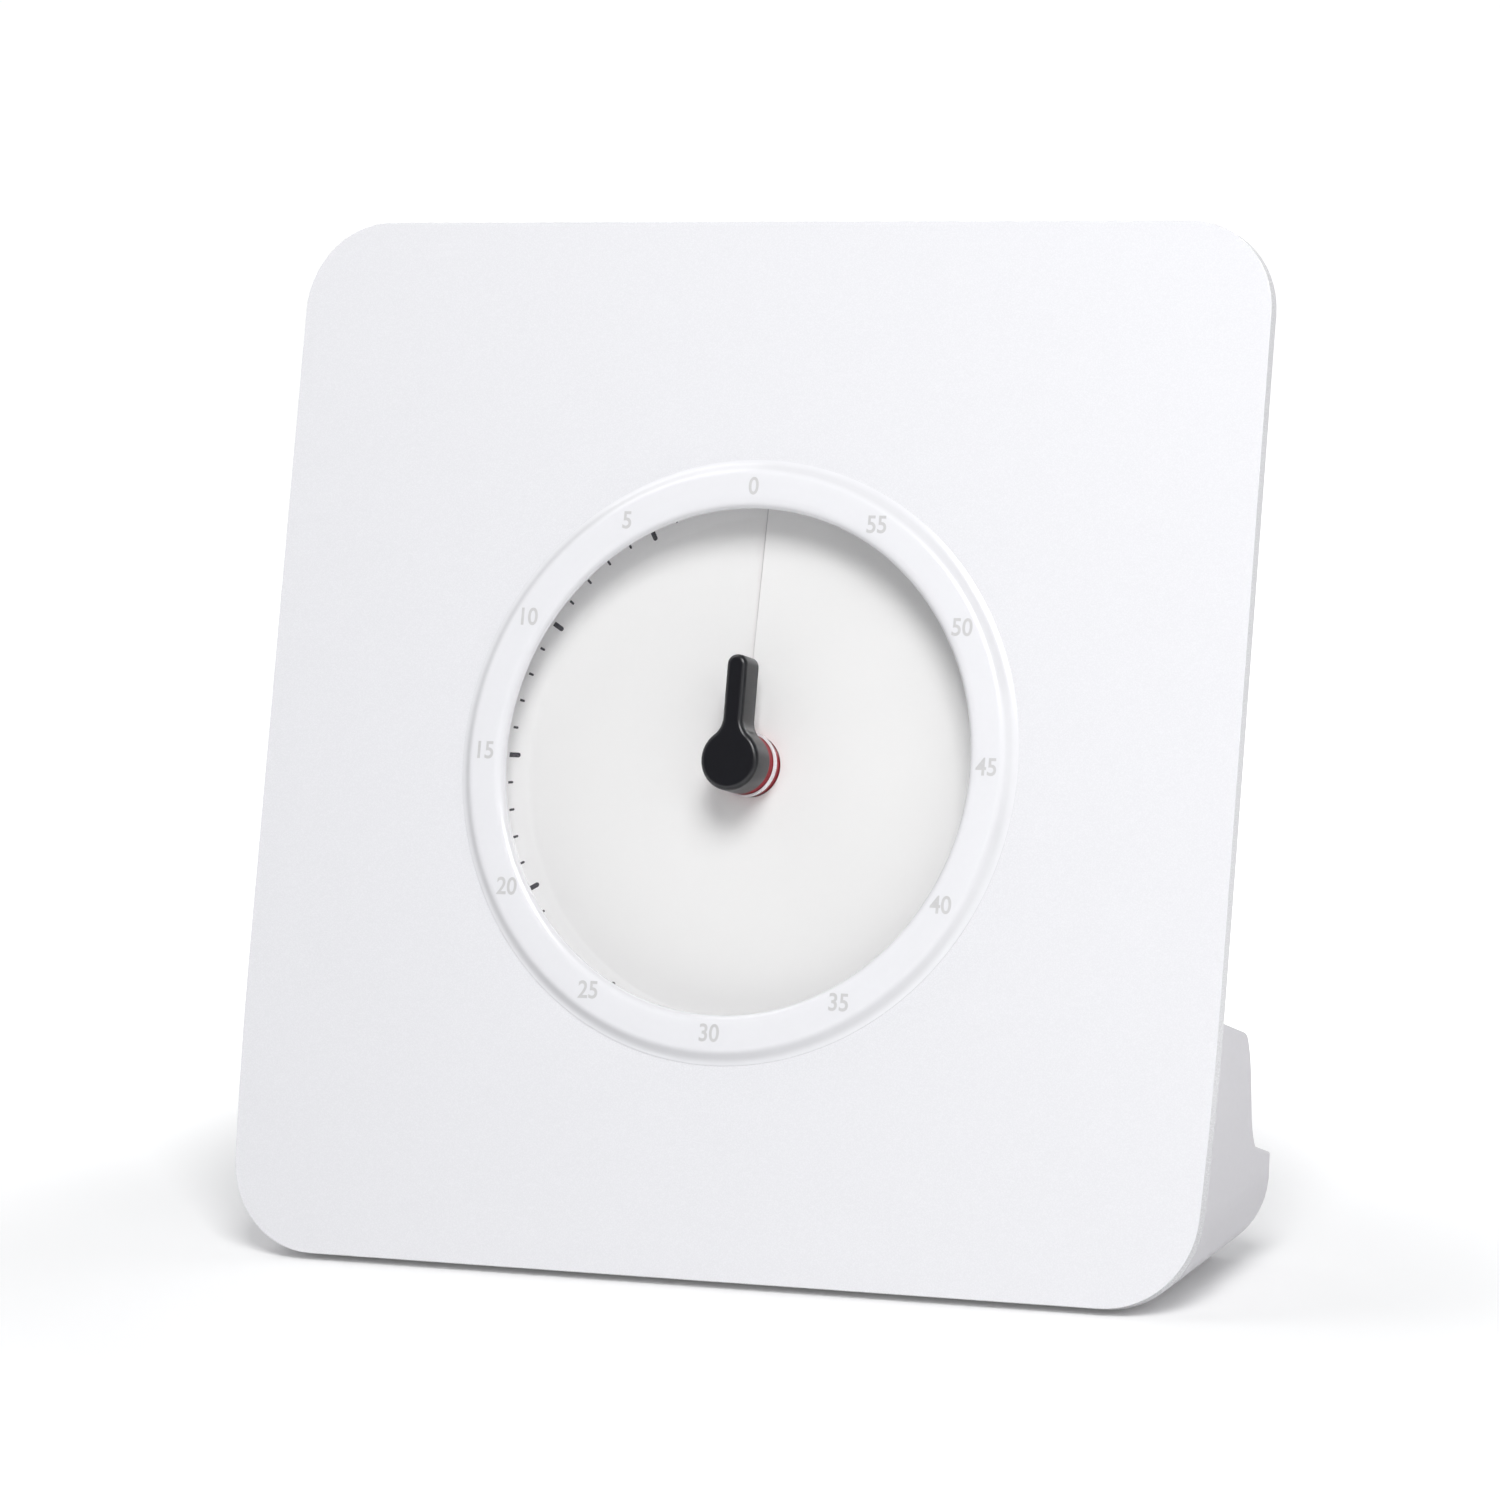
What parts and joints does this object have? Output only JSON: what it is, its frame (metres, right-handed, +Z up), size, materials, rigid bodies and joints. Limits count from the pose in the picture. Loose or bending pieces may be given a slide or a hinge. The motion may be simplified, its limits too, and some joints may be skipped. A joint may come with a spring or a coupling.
{
  "type": "visual countdown timer",
  "caption": "Free-standing square dry-wipe panel with a countdown dial, pointed knob, red disc under a lens, rear housing, battery door and pen tray.",
  "frame": {"origin": "middle of the footprint, on the surface it stands on", "axes": "+X to the right seen from the front, +Y to the back, +Z up; the panel faces -Y and leans back"},
  "size_m": [0.432, 0.1474, 0.4118],
  "materials": {
    "front_panel": "dry-wipe semi-gloss",
    "panel_back_cover": "fine satin",
    "back_cover_screws": "zinc plated",
    "dial_bezel": "satin, pad-printed minutes",
    "dial_lens": "clear, polished",
    "lens_retainer": "satin",
    "lens_grommet": "satin",
    "dial_face": "matt printed sheet",
    "red_disc": "matt printed sheet",
    "disc_hub": "moulded satin-gloss",
    "setting_knob": "moulded satin",
    "knob_spindle": "ground",
    "spindle_bush": "turned",
    "spindle_clip": "spring steel",
    "dial_tray": "satin",
    "spindle_wheel": "natural acetal",
    "clutch_spring": "spring steel",
    "idler_wheel": "natural acetal",
    "idler_pin": "ground",
    "gear_cover": "satin",
    "gear_cover_screws": "zinc plated",
    "motor_pinion": "turned",
    "geared_motor": "zinc plated",
    "motor_screws": "zinc plated",
    "dial_housing": "fine texture",
    "housing_screws": "zinc plated",
    "battery_box": "satin",
    "batteries": "film wrap",
    "battery_springs": "nickel plated",
    "battery_contacts": "nickel plated",
    "battery_door": "fine texture",
    "circuit_board": "solder resist",
    "board_components": "moulded",
    "board_screws": "zinc plated",
    "sounder": "black",
    "sounder_cone": "paper",
    "volume_control": "moulded",
    "volume_dial": "satin",
    "battery_wires": "insulation",
    "motor_wires": "insulation",
    "sounder_wires": "insulation",
    "stand_screws": "zinc plated",
    "stand_housing": "fine satin",
    "rubber_feet": "moulded"
  },
  "bodies": {
    "timer": {"front_panel": "front_panel", "panel_back_cover": "panel_back_cover", "back_cover_screws": "back_cover_screws", "dial_bezel": "dial_bezel", "dial_lens": "dial_lens", "lens_retainer": "lens_retainer", "lens_grommet": "lens_grommet", "dial_face": "dial_face", "spindle_bush": "spindle_bush", "dial_tray": "dial_tray", "idler_pin": "idler_pin", "gear_cover": "gear_cover", "gear_cover_screws": "gear_cover_screws", "geared_motor": "geared_motor", "motor_screws": "motor_screws", "dial_housing": "dial_housing", "housing_screws": "housing_screws", "battery_box": "battery_box", "batteries": "batteries", "battery_springs": "battery_springs", "battery_contacts": "battery_contacts", "circuit_board": "circuit_board", "board_components": "board_components", "board_screws": "board_screws", "sounder": "sounder", "sounder_cone": "sounder_cone", "volume_control": "volume_control", "battery_wires": "battery_wires", "motor_wires": "motor_wires", "sounder_wires": "sounder_wires", "stand_screws": "stand_screws", "stand_housing": "stand_housing", "rubber_feet": "rubber_feet"},
    "knob": {"setting_knob": "setting_knob", "disc_hub": "disc_hub", "knob_spindle": "knob_spindle", "spindle_clip": "spindle_clip", "spindle_wheel": "spindle_wheel", "clutch_spring": "clutch_spring"},
    "disc": {"red_disc": "red_disc"},
    "idler": {"idler_wheel": "idler_wheel"},
    "motor_drive": {"motor_pinion": "motor_pinion"},
    "volume": {"volume_dial": "volume_dial"},
    "door": {"battery_door": "battery_door"}
  },
  "joints": [
    {"name": "knob_turn", "type": "hinge", "parent": "timer", "child": "knob", "pos_m": [0, -0.00542, 0.20201], "axis": [0, -0.9455, 0.3256], "range_deg": [0, 360]},
    {"name": "disc_rise", "type": "slide", "parent": "knob", "child": "disc", "axis": [0, -0.9455, 0.3256], "range_m": [0, 0.0014]},
    {"name": "idler_turn", "type": "hinge", "parent": "timer", "child": "idler", "pos_m": [0.0288, 0.01567, 0.19475], "axis": [0, -0.9455, 0.3256], "range_deg": [-1800, 0]},
    {"name": "motor_turn", "type": "hinge", "parent": "timer", "child": "motor_drive", "pos_m": [0.04007, 0.01132, 0.17384], "axis": [0, -0.9455, 0.3256], "range_deg": [0, 7200]},
    {"name": "volume_turn", "type": "hinge", "parent": "timer", "child": "volume", "pos_m": [-0.03, 0.06093, 0.25955], "axis": [0, 0.9455, -0.3256], "range_deg": [0, 270]},
    {"name": "door_turn", "type": "hinge", "parent": "timer", "child": "door", "pos_m": [0, 0.0058, 0.10222], "axis": [-1, 0, 0], "range_deg": [0, 95]}
  ],
  "couplings": [
    {"joint": "disc_rise", "follows": "knob_turn", "m_per_rad": 0.00022281},
    {"joint": "idler_turn", "follows": "knob_turn", "ratio": -5},
    {"joint": "motor_turn", "follows": "knob_turn", "ratio": 20}
  ]
}
